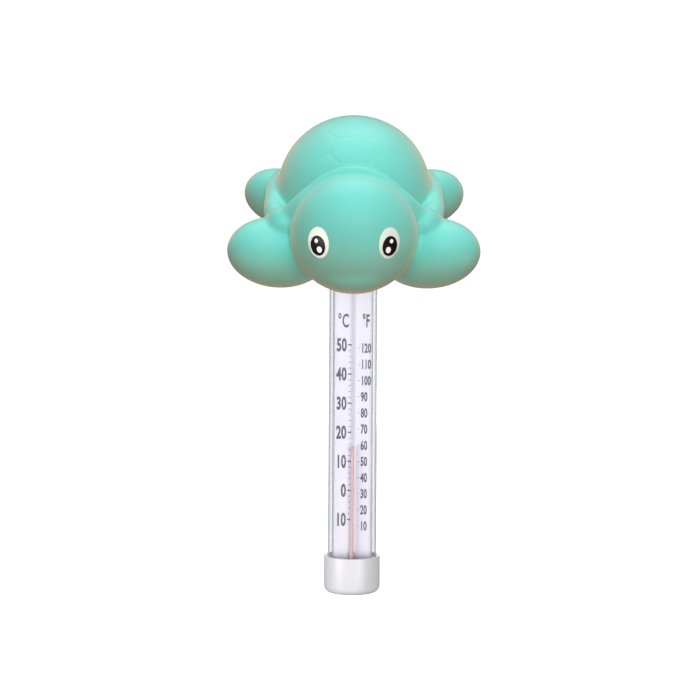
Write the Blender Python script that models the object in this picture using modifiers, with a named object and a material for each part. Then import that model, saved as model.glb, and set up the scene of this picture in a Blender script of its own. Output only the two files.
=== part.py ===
"""Floating pool thermometer: a hollow vinyl turtle carrying a clear tube with a spirit thermometer.

Metres, +Z up. The origin is on the tube's axis at the waterline, and the turtle looks along -Y.
The turtle floats a little nose down, so its lobes are laid out in a frame of their own, turtle_frame.
"""

import math

import bmesh
import bpy
from mathutils import Matrix, Vector

MM = 0.001

# Heights, all along the tube's axis and counted from the waterline.
CAP_BASE_Z = -140.0 * MM
FOOT_Z = CAP_BASE_Z + 8.9 * MM
FLOAT_NECK_Z = CAP_BASE_Z + 130.0 * MM
TUBE_TOP_Z = CAP_BASE_Z + 148.0 * MM
BUSH_TOP_Z = TUBE_TOP_Z - 1.4 * MM
NECK_SEAL_Z = FLOAT_NECK_Z + 8.0 * MM
PLUG_SEAL_Z = TUBE_TOP_Z - 4.0 * MM
CAP_SEAL_Z = CAP_BASE_Z + 12.0 * MM

# Tube and end cap.
TUBE_R = 9.65 * MM
TUBE_WALL = 1.5 * MM
TUBE_BOTTOM_Z = CAP_BASE_Z + 8.2 * MM
CAP_R = 11.25 * MM
CAP_HEIGHT = 15.0 * MM
CAP_WALL = 1.35 * MM
CAP_FLOOR = 1.8 * MM
CAP_EDGE_R = 2.8 * MM
CLEARANCE = 0.3 * MM
RUNNING_GAP = 0.25 * MM
PLUG_FLANGE_R = 11.6 * MM
PLUG_FLANGE_THICKNESS = 2.0 * MM
PLUG_DEPTH = 8.0 * MM
PLUG_WALL = 2.5 * MM
BUSH_FLANGE_THICKNESS = 1.6 * MM
FOOT_THICKNESS = 2.4 * MM

# Seals. Each groove is (half its height, how deep it is cut), each ring (radius, half its section).
NECK_GROOVE = (0.9 * MM, 1.05 * MM)
PLUG_GROOVE = (0.7 * MM, 1.1 * MM)
CAP_GROOVE = (0.6 * MM, 0.6 * MM)
NECK_RING = (10.35 * MM, 0.5 * MM)
PLUG_RING = (7.4 * MM, 0.45 * MM)
CAP_RING = (10.08 * MM, 0.33 * MM)

# What lies in the cap, from the bottom up.
BALLAST_R = 9.3 * MM
BALLAST_TOP_Z = CAP_BASE_Z + 6.2 * MM

# Spirit thermometer.
DEGREE = 1.18 * MM
ZERO_Z = CAP_BASE_Z + 41.1 * MM
READING_C = 15.6
SCALE_MIN_C = -10.0
SCALE_MAX_C = 50.0
STEM_Y = -1.35 * MM
STEM_R = 1.1 * MM
BULB_R = 1.6 * MM
BORE_R = 0.45 * MM
SPIRIT_R = 0.33 * MM
STEM_TOP_Z = CAP_BASE_Z + 136.5 * MM
BULB_BOTTOM_Z = CAP_BASE_Z + 8.8 * MM
BULB_TOP_Z = CAP_BASE_Z + 16.8 * MM
MENISCUS_LENGTH = 8.0 * MM

# Scale plate.
PLATE_WIDTH = 15.4 * MM
PLATE_THICKNESS = 1.0 * MM
PLATE_FRONT_Y = 0.3 * MM
PLATE_BOTTOM_Z = CAP_BASE_Z + 10.2 * MM
PLATE_TOP_Z = CAP_BASE_Z + 137.0 * MM

# Turtle float, in turtle_frame: its belly is at z = 0 and its nose points along -Y.
TURTLE_Z = CAP_BASE_Z + 132.4 * MM
TURTLE_PITCH = math.radians(15.0)
SKIN_WALL = 2.2 * MM
NECK_BORE_R = 12.3 * MM
NECK_WALL = 2.4 * MM
NECK_LENGTH = 20.0 * MM

# Each lobe is (centre, half axes, lift and yaw in degrees, True if there is one on each side).
LOBES = {
    "carapace": ((0, 8, 28), (30.8, 38, 29.6), (0, 0), False),
    "body": ((0, 4, 20), (30, 38, 20), (0, 0), False),
    "head": ((0, -32, 26.3), (25.2, 25.2, 23.5), (0, 0), False),
    "brow": ((0, -12, 33.5), (22.5, 15, 14.5), (0, 0), False),
    "muzzle": ((0, -42, 17.6), (16, 13.4, 11.2), (0, 0), False),
    "shoulder": ((28.0, -25.0, 28.9), (6.3, 8.0, 7.2), (0, 0), True),
    "front_flipper": ((29.8, -24, 15.0), (21.8, 15.6, 13.9), (13, -30), True),
    "rear_flipper": ((29.3, 30, 17.2), (17, 11.8, 11.0), (0, 41), True),
    "tail": ((0, 44, 19), (5.5, 9, 5), (0, 0), False),
}
SOLID_LOBES = ("brow", "muzzle", "shoulder", "tail")

# The carapace's rolled rim, from over the head round one side to the tail: x, y, z and its radius.
RIM = (
    (0, -24.5, 49.2, 2.6),
    (9.5, -25.2, 46.9, 2.7),
    (16.6, -26.8, 41.4, 3.2),
    (22.2, -27.6, 36.4, 4.2),
    (27.4, -24.0, 30.6, 4.8),
    (30.6, -14, 28.0, 4.6),
    (31.6, 2, 27.6, 3.8),
    (30.5, 21, 27.4, 3.2),
    (23.5, 34.5, 27.2, 3.2),
    (12.5, 42.8, 27, 3.2),
    (0, 45.3, 27, 3.2),
)

BIG_LOBE_SEGMENTS = 28
SMALL_LOBE_SEGMENTS = 20
CAVITY_SEGMENTS = 14
BLEND_VOXEL = 2.2 * MM
RELAX_STEPS = 4
FACES_KEPT = 0.28
TURNED_STEPS = 40
FINE_STEPS = 16
ARC_POINTS = 6


def clear_scene():
    for obj in list(bpy.data.objects):
        bpy.data.objects.remove(obj)


def material(name, colour, roughness, metallic=0.0, alpha=1.0):
    made = bpy.data.materials.new(name)
    made.use_nodes = True
    shader = made.node_tree.nodes["Principled BSDF"]
    shader.inputs["Base Color"].default_value = (*colour, 1.0)
    shader.inputs["Roughness"].default_value = roughness
    shader.inputs["Metallic"].default_value = metallic
    shader.inputs["Alpha"].default_value = alpha
    return made


def collection(name):
    made = bpy.data.collections.new(name)
    bpy.context.scene.collection.children.link(made)
    return made


def add_object(name, mesh, group, finish=None):
    obj = bpy.data.objects.new(name, mesh)
    group.objects.link(obj)
    if finish is not None:
        mesh.materials.append(finish)
    return obj


def hide_helper(obj):
    obj.hide_render = True
    obj.display_type = "WIRE"


def smooth(obj, degrees=35):
    obj.data.shade_smooth()
    obj.data.set_sharp_from_angle(angle=math.radians(degrees))


def arc(centre, radius, start, end, count=ARC_POINTS):
    """Points (r, z) of an arc in a turned profile, from angle start to end in degrees."""
    r, z = centre
    angles = [math.radians(start + (end - start) * i / count) for i in range(count + 1)]
    return [(r + radius * math.cos(a), z + radius * math.sin(a)) for a in angles]


def turned(name, outline, group, finish, steps=TURNED_STEPS, closed=True, y=0.0):
    """A solid of revolution about a vertical axis. The outline, (r, z), runs down its outer side."""
    mesh = bpy.data.meshes.new(name)
    count = len(outline)
    edges = [(i, i + 1) for i in range(count - 1)]
    if closed:
        edges.append((count - 1, 0))
    mesh.from_pydata([(r, 0, z) for r, z in outline], edges, [])
    obj = add_object(name, mesh, group, finish)
    obj.location.y = y
    screw = obj.modifiers.new("turn", "SCREW")
    screw.axis = "Z"
    screw.angle = 2 * math.pi
    screw.steps = steps
    screw.render_steps = steps
    screw.use_merge_vertices = True
    screw.merge_threshold = 0.00001
    screw.use_smooth_shade = False
    return obj


def rectangle(inner, outer, bottom, top):
    """The outline of a plain ring for turned()."""
    return [(outer, top), (outer, bottom), (inner, bottom), (inner, top)]


def disc(radius, bottom, top):
    """The outline of a plain disc for turned(), open where it meets the axis."""
    return [(0, top), (radius, top), (radius, bottom), (0, bottom)]


def boolean(obj, operation, operand):
    cut = obj.modifiers.new(operation.lower(), "BOOLEAN")
    cut.operation = operation
    cut.solver = "EXACT"
    if isinstance(operand, bpy.types.Collection):
        cut.operand_type = "COLLECTION"
        cut.collection = operand
    else:
        cut.object = operand


def bevel(obj, width, segments=2):
    edge = obj.modifiers.new("edges", "BEVEL")
    edge.width = width
    edge.segments = segments
    edge.limit_method = "ANGLE"
    edge.angle_limit = math.radians(40)


def ellipsoid_mesh(name, half_axes, segments):
    mesh = bpy.data.meshes.new(name)
    form = bmesh.new()
    bmesh.ops.create_uvsphere(form, u_segments=segments, v_segments=segments // 2 + 2, radius=1)
    bmesh.ops.scale(form, vec=Vector(half_axes), verts=form.verts)
    form.to_mesh(mesh)
    form.free()
    return mesh


def lobe_segments(half_axes):
    return BIG_LOBE_SEGMENTS if max(half_axes) * MM > 0.0225 else SMALL_LOBE_SEGMENTS


def add_lobes(turtle_frame, group, inset, segments_of):
    """One ellipsoid for each lobe, its half axes shorter by inset, standing in turtle_frame."""
    made = []
    for name, (centre, half_axes, (lift, yaw), paired) in LOBES.items():
        if inset and name in SOLID_LOBES:
            continue
        for side in (1, -1) if paired else (1,):
            axes = [a * MM - inset for a in half_axes]
            mesh = ellipsoid_mesh(name, axes, segments_of(half_axes))
            lobe = add_object(f"{group.name}_{name}_{side}", mesh, group)
            lobe.parent = turtle_frame
            lobe.location = (side * centre[0] * MM, centre[1] * MM, centre[2] * MM)
            lobe.rotation_euler = (0, -side * math.radians(lift), side * math.radians(yaw))
            hide_helper(lobe)
            made.append(lobe)
    return made


def rim_tube(turtle_frame, group):
    """The carapace's rolled rim as a closed tube of changing radius, made a mesh for the union."""
    half = list(RIM)
    around = half + [(-x, y, z, r) for x, y, z, r in reversed(half[1:-1])]
    curve = bpy.data.curves.new("rim", "CURVE")
    curve.dimensions = "3D"
    curve.bevel_depth = 1 * MM
    curve.bevel_resolution = 2
    curve.resolution_u = 2
    spline = curve.splines.new("BEZIER")
    spline.bezier_points.add(len(around) - 1)
    for point, (x, y, z, r) in zip(spline.bezier_points, around):
        point.co = Vector((x, y, z)) * MM
        point.radius = r
        point.handle_left_type = "AUTO"
        point.handle_right_type = "AUTO"
    spline.use_cyclic_u = True
    line = bpy.data.objects.new("rim_line", curve)
    group.objects.link(line)
    line.parent = turtle_frame
    bpy.context.view_layer.update()
    graph = bpy.context.evaluated_depsgraph_get()
    mesh = bpy.data.meshes.new_from_object(line.evaluated_get(graph))
    form = bmesh.new()
    form.from_mesh(mesh)
    bmesh.ops.remove_doubles(form, verts=form.verts, dist=0.000001)
    form.to_mesh(mesh)
    form.free()
    rim = add_object("rim_tube", mesh, group)
    rim.matrix_world = line.matrix_world
    bpy.data.objects.remove(line)
    hide_helper(rim)
    return rim


def cylinder(name, radius, bottom, top, group, segments=TURNED_STEPS, y=0.0):
    mesh = bpy.data.meshes.new(name)
    form = bmesh.new()
    bmesh.ops.create_cone(
        form,
        cap_ends=True,
        segments=segments,
        radius1=radius,
        radius2=radius,
        depth=top - bottom,
        matrix=Matrix.Translation((0, y, (top + bottom) / 2)),
    )
    form.to_mesh(mesh)
    form.free()
    return add_object(name, mesh, group)


def float_skin(parts, finish):
    """The turtle: one hollow vinyl casting, open only at the neck that takes the tube."""
    turtle_frame = bpy.data.objects.new("turtle_frame", None)
    parts.objects.link(turtle_frame)
    turtle_frame.location.z = TURTLE_Z
    turtle_frame.rotation_euler.x = TURTLE_PITCH
    bpy.context.view_layer.update()

    outside = collection("outside")
    lobes = add_lobes(turtle_frame, outside, 0, lobe_segments)
    rim_tube(turtle_frame, outside)
    cavity = collection("cavity")
    add_lobes(turtle_frame, cavity, SKIN_WALL, lambda half_axes: CAVITY_SEGMENTS)
    openings = collection("openings")
    neck = cylinder(
        "neck", NECK_BORE_R + NECK_WALL, FLOAT_NECK_Z, FLOAT_NECK_Z + NECK_LENGTH, openings
    )
    bore = cylinder(
        "neck_bore", NECK_BORE_R, FLOAT_NECK_Z - 5 * MM, FLOAT_NECK_Z + NECK_LENGTH + 2 * MM, openings
    )
    hide_helper(neck)
    hide_helper(bore)

    skin = lobes[0]
    outside.objects.unlink(skin)
    parts.objects.link(skin)
    skin.name = "float_skin"
    skin.hide_render = False
    skin.display_type = "TEXTURED"
    skin.data.materials.append(finish)
    boolean(skin, "UNION", outside)
    blend = skin.modifiers.new("blend", "REMESH")
    blend.mode = "VOXEL"
    blend.voxel_size = BLEND_VOXEL
    relax = skin.modifiers.new("relax", "SMOOTH")
    relax.factor = 0.5
    relax.iterations = RELAX_STEPS
    thin_out = skin.modifiers.new("thin_out", "DECIMATE")
    thin_out.ratio = FACES_KEPT
    boolean(skin, "DIFFERENCE", cavity)
    boolean(skin, "UNION", neck)
    boolean(skin, "DIFFERENCE", bore)
    smooth(skin)


def neck_bush(parts, finish):
    """Flanged sleeve bonded into the float's neck. The tube turns in it."""
    flange_z = FLOAT_NECK_Z - CLEARANCE
    flange_bottom = flange_z - BUSH_FLANGE_THICKNESS
    top = BUSH_TOP_Z
    inner = TUBE_R + RUNNING_GAP
    sleeve = NECK_BORE_R - CLEARANCE
    groove_half, groove_depth = NECK_GROOVE
    groove_low, groove_high = NECK_SEAL_Z - groove_half, NECK_SEAL_Z + groove_half
    groove_r = inner + groove_depth
    turned(
        "neck_bush",
        [
            (sleeve, top),
            (sleeve, flange_z),
            (NECK_BORE_R + NECK_WALL, flange_z),
            (NECK_BORE_R + NECK_WALL, flange_bottom),
            (inner, flange_bottom),
            (inner, groove_low),
            (groove_r, groove_low),
            (groove_r, groove_high),
            (inner, groove_high),
            (inner, top),
        ],
        parts,
        finish,
    )


def swivel_washer(parts, finish):
    """Slippery ring on the bush's top that the stopper's flange turns on."""
    low = BUSH_TOP_Z + CLEARANCE
    ring = rectangle(TUBE_R + CLEARANCE, PLUG_FLANGE_R - 0.2 * MM, low, TUBE_TOP_Z)
    turned("swivel_washer", ring, parts, finish)


def seal_ring(name, ring, z, parts, finish):
    """A round-section rubber ring."""
    radius, section = ring
    turned(name, arc((radius, z), section, 90, -270, 8)[:-1], parts, finish, steps=32)


def tube(parts, finish):
    inner = TUBE_R - TUBE_WALL
    turned("tube", rectangle(inner, TUBE_R, TUBE_BOTTOM_Z, TUBE_TOP_Z), parts, finish)


def tube_top_plug(parts, finish):
    """Stopper in the tube's top. Its flange rests over the bush, so the tube can't drop out."""
    spigot = TUBE_R - TUBE_WALL - RUNNING_GAP
    flange_r = PLUG_FLANGE_R
    flange_low = TUBE_TOP_Z + CLEARANCE
    flange_top = flange_low + PLUG_FLANGE_THICKNESS
    spigot_low = TUBE_TOP_Z - PLUG_DEPTH
    groove_half, groove_depth = PLUG_GROOVE
    groove_r = spigot - groove_depth
    hollow_r = spigot - PLUG_WALL
    hollow_top = TUBE_TOP_Z - 0.5 * MM
    turned(
        "tube_top_plug",
        [
            (0, flange_top),
            (flange_r - 0.5 * MM, flange_top),
            (flange_r, flange_top - 0.5 * MM),
            (flange_r, flange_low),
            (spigot, flange_low),
            (spigot, PLUG_SEAL_Z + groove_half),
            (groove_r, PLUG_SEAL_Z + groove_half),
            (groove_r, PLUG_SEAL_Z - groove_half),
            (spigot, PLUG_SEAL_Z - groove_half),
            (spigot, spigot_low),
            (hollow_r, spigot_low),
            (hollow_r, hollow_top),
            (0, hollow_top),
        ],
        parts,
        finish,
        closed=False,
    )


def box(name, low, high, group, finish=None):
    """A box between two corners, from the cube primitive."""
    mesh = bpy.data.meshes.new(name)
    form = bmesh.new()
    bmesh.ops.create_cube(form, size=1)
    size = Vector(high) - Vector(low)
    bmesh.ops.scale(form, vec=size, verts=form.verts)
    bmesh.ops.translate(form, vec=(Vector(high) + Vector(low)) / 2, verts=form.verts)
    form.to_mesh(mesh)
    form.free()
    return add_object(name, mesh, group, finish)


def scale_plate(parts, finish):
    half = PLATE_WIDTH / 2
    back = PLATE_FRONT_Y + PLATE_THICKNESS
    plate = box(
        "scale_plate",
        (-half, PLATE_FRONT_Y, PLATE_BOTTOM_Z),
        (half, back, PLATE_TOP_Z),
        parts,
        finish,
    )
    bevel(plate, 0.2 * MM, 1)


def plate_foot(parts, cutters, finish):
    """Moulded foot in the tube's lower end: a slot holds the plate and a hole takes the bulb."""
    radius = TUBE_R - TUBE_WALL - CLEARANCE
    top = FOOT_Z + FOOT_THICKNESS
    foot = cylinder("plate_foot", radius, FOOT_Z, top, parts)
    foot.data.materials.append(finish)
    bulb_hole = cylinder(
        "bulb_hole", BULB_R + CLEARANCE, FOOT_Z - 1 * MM, top + 1 * MM, cutters, 24, STEM_Y
    )
    slot_x = PLATE_WIDTH / 2 + CLEARANCE
    slot = box(
        "plate_slot",
        (-slot_x - 1 * MM, PLATE_FRONT_Y - 0.2 * MM, PLATE_BOTTOM_Z - CLEARANCE),
        (slot_x + 1 * MM, PLATE_FRONT_Y + PLATE_THICKNESS + 0.2 * MM, top + 1 * MM),
        cutters,
    )
    for cutter in (bulb_hole, slot):
        hide_helper(cutter)
        boolean(foot, "DIFFERENCE", cutter)


def stem_holder(parts, cutters, finish):
    """Soft disc near the tube's top that centres the glass stem and the plate."""
    radius = TUBE_R - TUBE_WALL - CLEARANCE
    low, top = STEM_TOP_Z - 6.5 * MM, STEM_TOP_Z - 3.5 * MM
    holder = cylinder("stem_holder", radius, low, top, parts)
    holder.data.materials.append(finish)
    stem_hole = cylinder(
        "stem_hole", STEM_R + 0.2 * MM, low - 1 * MM, top + 1 * MM, cutters, 24, STEM_Y
    )
    slot_x = PLATE_WIDTH / 2 + CLEARANCE
    slot = box(
        "holder_slot",
        (-slot_x - 1 * MM, PLATE_FRONT_Y - 0.1 * MM, low - 1 * MM),
        (slot_x + 1 * MM, radius + 1 * MM, top + 1 * MM),
        cutters,
    )
    for cutter in (stem_hole, slot):
        hide_helper(cutter)
        boolean(holder, "DIFFERENCE", cutter)


def top_cushion(parts, finish):
    """Foam disc under the stopper. It keeps the plate and the glass from rattling."""
    low = PLATE_TOP_Z + CLEARANCE
    high = TUBE_TOP_Z - PLUG_DEPTH - CLEARANCE
    foam = disc(TUBE_R - TUBE_WALL - CLEARANCE, low, high)
    turned("top_cushion", foam, parts, finish, closed=False)


def glass_stem(parts, finish):
    """The capillary: a thin bore above a bulb, left open at its top end."""
    cavity_r = BULB_R - 0.45 * MM
    shoulder = BULB_TOP_Z + 1.4 * MM
    turned(
        "glass_stem",
        [
            (0, BULB_BOTTOM_Z + 1.0 * MM),
            (cavity_r, BULB_BOTTOM_Z + 1.4 * MM),
            (cavity_r, BULB_TOP_Z - 1.2 * MM),
            (BORE_R, BULB_TOP_Z),
            (BORE_R, STEM_TOP_Z),
            (STEM_R, STEM_TOP_Z),
            (STEM_R, shoulder),
            (BULB_R, BULB_TOP_Z - 0.4 * MM),
            (BULB_R, BULB_BOTTOM_Z + 0.9 * MM),
            (BULB_R - 0.5 * MM, BULB_BOTTOM_Z + 0.2 * MM),
            (0, BULB_BOTTOM_Z),
        ],
        parts,
        finish,
        FINE_STEPS,
        closed=False,
        y=STEM_Y,
    )


def bulb_spirit(parts, finish):
    """The spirit that fills the bulb, up to the mouth of the bore."""
    radius = BULB_R - 0.62 * MM
    turned(
        "bulb_spirit",
        [
            (0, BULB_TOP_Z - 0.2 * MM),
            (0.22 * MM, BULB_TOP_Z - 0.2 * MM),
            (radius, BULB_TOP_Z - 1.5 * MM),
            (radius, BULB_BOTTOM_Z + 1.6 * MM),
            (0, BULB_BOTTOM_Z + 1.3 * MM),
        ],
        parts,
        finish,
        FINE_STEPS,
        closed=False,
        y=STEM_Y,
    )


def spirit_column(parts, finish):
    """The thread of spirit in the bore, and the moving end that shows the reading."""
    level = ZERO_Z + READING_C * DEGREE
    end_low = level - MENISCUS_LENGTH
    column = disc(SPIRIT_R, BULB_TOP_Z + 0.1 * MM, end_low - 0.1 * MM)
    turned("spirit_column", column, parts, finish, FINE_STEPS, closed=False, y=STEM_Y)
    dome = arc((0, level - SPIRIT_R), SPIRIT_R, 90, 0, 4)
    end = [(0, dome[0][1]), *dome[1:], (SPIRIT_R, end_low), (0, end_low)]
    turned("spirit_level", end, parts, finish, FINE_STEPS, closed=False, y=STEM_Y)


def end_cap(parts, finish):
    """Push-on cap over the tube's lower end, with a groove for its seal."""
    top = CAP_BASE_Z + CAP_HEIGHT
    inner = CAP_R - CAP_WALL
    edge = arc((CAP_R - CAP_EDGE_R, CAP_BASE_Z + CAP_EDGE_R), CAP_EDGE_R, 0, -90)
    groove_half, groove_depth = CAP_GROOVE
    groove_r = inner + groove_depth
    floor = CAP_BASE_Z + CAP_FLOOR
    turned(
        "end_cap",
        [
            (CAP_R - 0.4 * MM, top),
            (CAP_R, top - 0.4 * MM),
            *edge,
            (0, CAP_BASE_Z),
            (0, floor),
            (inner, floor),
            (inner, CAP_SEAL_Z - groove_half),
            (groove_r, CAP_SEAL_Z - groove_half),
            (groove_r, CAP_SEAL_Z + groove_half),
            (inner, CAP_SEAL_Z + groove_half),
            (inner, top),
        ],
        parts,
        finish,
    )


def cap_contents(parts, steel, rubber, foam):
    """Ballast that keeps the tube upright, the gasket under the tube's end and the bulb's cushion."""
    low = CAP_BASE_Z + CAP_FLOOR + CLEARANCE
    turned("ballast_slug", disc(BALLAST_R, low, BALLAST_TOP_Z), parts, steel, closed=False)
    washer_low = BALLAST_TOP_Z + CLEARANCE
    washer_high = TUBE_BOTTOM_Z - CLEARANCE
    washer = rectangle(TUBE_R - TUBE_WALL, TUBE_R - 0.1 * MM, washer_low, washer_high)
    turned("cap_gasket", washer, parts, rubber)
    cushion_top = BULB_BOTTOM_Z - CLEARANCE
    cushion = disc(TUBE_R - TUBE_WALL - CLEARANCE, washer_low, cushion_top)
    turned("bulb_cushion", cushion, parts, foam, closed=False)


def build():
    clear_scene()
    parts = collection("pool_thermometer")
    cutters = collection("cutters")
    vinyl = material("mint_vinyl", (0.2, 0.69, 0.6), 0.5)
    white = material("white_plastic", (0.82, 0.82, 0.83), 0.35)
    nylon = material("nylon", (0.78, 0.76, 0.7), 0.4)
    clear = material("clear_plastic", (0.9, 0.93, 0.95), 0.05, alpha=0.3)
    glass = material("glass", (0.95, 0.97, 0.98), 0.02, alpha=0.3)
    spirit = material("red_spirit", (0.75, 0.06, 0.05), 0.15)
    rubber = material("seal_rubber", (0.05, 0.05, 0.05), 0.7)
    foam = material("white_foam", (0.85, 0.85, 0.82), 0.9)
    steel = material("ballast_steel", (0.45, 0.45, 0.46), 0.4, metallic=1.0)

    float_skin(parts, vinyl)
    neck_bush(parts, white)
    swivel_washer(parts, nylon)
    seal_ring("neck_seal", NECK_RING, NECK_SEAL_Z, parts, rubber)
    tube(parts, clear)
    tube_top_plug(parts, white)
    seal_ring("plug_seal", PLUG_RING, PLUG_SEAL_Z, parts, rubber)
    scale_plate(parts, white)
    plate_foot(parts, cutters, white)
    stem_holder(parts, cutters, foam)
    top_cushion(parts, foam)
    glass_stem(parts, glass)
    bulb_spirit(parts, spirit)
    spirit_column(parts, spirit)
    end_cap(parts, white)
    seal_ring("cap_seal", CAP_RING, CAP_SEAL_Z, parts, rubber)
    cap_contents(parts, steel, rubber, foam)


build()
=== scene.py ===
# %% [markdown]
# # A floating pool thermometer
# A hollow vinyl turtle floats on the pool and carries a clear tube. The tube holds a printed scale and
# a glass spirit thermometer, and a white cap with a weight inside closes its lower end.
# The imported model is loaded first, because every new piece takes its place and size from it.

# %% Load the frame
import math

import bpy
import numpy as np
from mathutils import Matrix, Vector


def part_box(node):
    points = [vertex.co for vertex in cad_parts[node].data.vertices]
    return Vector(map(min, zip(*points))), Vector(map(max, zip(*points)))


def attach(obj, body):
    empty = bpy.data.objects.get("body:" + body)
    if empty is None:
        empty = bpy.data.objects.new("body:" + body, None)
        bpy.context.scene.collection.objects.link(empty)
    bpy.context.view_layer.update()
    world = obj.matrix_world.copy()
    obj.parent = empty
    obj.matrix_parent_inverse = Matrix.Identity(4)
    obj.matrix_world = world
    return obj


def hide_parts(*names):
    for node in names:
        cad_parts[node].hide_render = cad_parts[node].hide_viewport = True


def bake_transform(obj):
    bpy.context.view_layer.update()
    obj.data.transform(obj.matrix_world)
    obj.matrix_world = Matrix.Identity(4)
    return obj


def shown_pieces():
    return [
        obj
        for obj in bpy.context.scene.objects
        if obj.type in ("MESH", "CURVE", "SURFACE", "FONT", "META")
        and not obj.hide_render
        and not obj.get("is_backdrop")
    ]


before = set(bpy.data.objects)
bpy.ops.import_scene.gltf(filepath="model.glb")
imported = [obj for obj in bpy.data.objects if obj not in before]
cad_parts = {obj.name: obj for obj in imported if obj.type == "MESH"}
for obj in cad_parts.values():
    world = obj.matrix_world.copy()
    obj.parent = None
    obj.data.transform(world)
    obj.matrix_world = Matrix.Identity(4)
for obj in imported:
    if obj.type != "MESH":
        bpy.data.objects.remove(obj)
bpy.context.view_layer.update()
MM = 0.001


# %% [markdown]
# ## Sizes
# The turned pieces share one axis and stack up from the cap's base, so each height below is counted
# in millimetres from there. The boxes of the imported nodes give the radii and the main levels.

# %% Sizes taken from the frame
def span(node, axis):
    """The lowest and highest place of a CAD node along an axis, in millimetres."""
    low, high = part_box(node)
    return low[axis] / MM, high[axis] / MM


BASE = span("end_cap", 2)[0]


def heights(node):
    return [z - BASE for z in span(node, 2)]


CAP_R = span("end_cap", 0)[1]
CAP_TOP = heights("end_cap")[1]
TUBE_R = span("tube", 0)[1]
TUBE_LOW, TUBE_TOP = heights("tube")
BORE_R = TUBE_R - 1.5
STEM_X = sum(span("glass_stem", 0)) / 2
STEM_Y = sum(span("glass_stem", 1)) / 2
PLATE_FRONT = span("scale_plate", 1)[0]
print("cap radius", round(CAP_R, 2), "tube radius", round(TUBE_R, 2), "base", round(BASE, 1))


# %% [markdown]
# ## Helpers for shaping
# Most of the shaping is done with Blender's own operators. An operator works on all that is selected,
# so each piece starts with nothing selected.

# %% Small helpers
def deselect():
    bpy.ops.object.select_all(action="DESELECT")


def choose(*pieces):
    """Only these objects are selected, and the first is active."""
    deselect()
    for piece in pieces:
        piece.select_set(True)
    bpy.context.view_layer.objects.active = pieces[0]


def apply_modifier(piece, kind, **settings):
    """Adds a modifier with its settings and applies it."""
    choose(piece)
    made = piece.modifiers.new(kind.lower(), kind)
    for name, value in settings.items():
        setattr(made, name, value)
    bpy.ops.object.modifier_apply(modifier=made.name)


def place_in_mesh(piece):
    choose(piece)
    bpy.ops.object.transform_apply(location=True, rotation=True, scale=True)


def joined(name, pieces):
    choose(*pieces)
    bpy.ops.object.join()
    made = bpy.context.object
    made.name = name
    made.data.name = name
    return made


def finished(piece, finish, body, slot, *nodes, angle=35):
    """Gives a piece its finish, its smooth shading, its body and the CAD nodes it stands for."""
    place_in_mesh(piece)
    piece.data.materials.clear()
    piece.data.materials.append(finish)
    bpy.ops.object.shade_smooth_by_angle(angle=math.radians(angle))
    if body:
        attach(piece, body)
    if nodes:
        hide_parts(*nodes)
    print(piece.name, len(piece.data.polygons), "faces, mm:", [round(v / MM, 1) for v in piece.dimensions])
    return piece


# %% [markdown]
# A turned piece is drawn the way a lathe cuts it. A circle stands at the first point of the outline,
# and it is extruded and resized from point to point. A filled circle gives a solid piece, and an open
# one gives a ring whose last loop is welded to its first. A bevel then breaks every sharp edge.

# %% A turned piece
def turned(name, outline, ring=False, x=0.0, y=0.0, steps=96, edge=0.15):
    """A solid or a ring turned about the vertical through (x, y). The outline is (radius, height), mm."""
    (radius, height), *rest = outline
    if ring:
        rest = [*rest, outline[0]]
    deselect()
    bpy.ops.mesh.primitive_circle_add(
        vertices=steps,
        radius=radius * MM,
        fill_type="NOTHING" if ring else "NGON",
        location=(x * MM, y * MM, (BASE + height) * MM),
    )
    piece = bpy.context.object
    piece.name = name
    piece.data.name = name
    bpy.ops.object.mode_set(mode="EDIT")
    bpy.ops.mesh.select_all(action="SELECT")
    for next_radius, next_height in rest:
        rise = (next_height - height) * MM
        bpy.ops.mesh.extrude_region_move(TRANSFORM_OT_translate={"value": (0, 0, rise)})
        ratio = next_radius / radius
        pivot = (x * MM, y * MM, (BASE + next_height) * MM)
        bpy.ops.transform.resize(value=(ratio, ratio, 1), center_override=pivot)
        radius, height = next_radius, next_height
    bpy.ops.mesh.select_all(action="SELECT")
    if ring:
        bpy.ops.mesh.remove_doubles(threshold=0.001 * MM)
    bpy.ops.mesh.normals_make_consistent(inside=False)
    bpy.ops.object.mode_set(mode="OBJECT")
    place_in_mesh(piece)
    if edge:
        apply_modifier(
            piece, "BEVEL", width=edge * MM, segments=3, limit_method="ANGLE", angle_limit=math.radians(40)
        )
    return piece


def arc(centre_r, centre_z, radius, start, end, count):
    """Points of a round edge for an outline, from angle start to end in degrees."""
    turns = [math.radians(start + (end - start) * i / count) for i in range(count + 1)]
    return [(centre_r + radius * math.cos(a), centre_z + radius * math.sin(a)) for a in turns]


print("a quarter round:", [(round(r, 2), round(z, 2)) for r, z in arc(0, 0, 1, 0, 90, 2)])

# %% [markdown]
# ## Helpers for finishes
# Each finish is one Principled shader fed by a few texture nodes. Colours are written as sRGB hex and
# turned to linear light. Patterns read Object coordinates, so their size is a real one, in millimetres.

# %% Colour, node and finish helpers
def linear(code):
    """An sRGB hex colour as linear red, green, blue and alpha."""
    parts = [int(code[i : i + 2], 16) / 255 for i in (0, 2, 4)]
    return (*[c / 12.92 if c <= 0.04045 else ((c + 0.055) / 1.055) ** 2.4 for c in parts], 1.0)


def per_mm(size):
    """The texture scale that makes one feature about this many millimetres across."""
    return 1 / (size * MM)


def add_node(finish, kind, inputs, **settings):
    """Adds a node with its settings. Each input is a value, or an output to link from."""
    made = finish.node_tree.nodes.new(kind)
    for name, value in settings.items():
        setattr(made, name, value)
    for socket, value in inputs.items():
        if isinstance(value, bpy.types.NodeSocket):
            finish.node_tree.links.new(value, made.inputs[socket])
        else:
            made.inputs[socket].default_value = value
    return made


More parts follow.
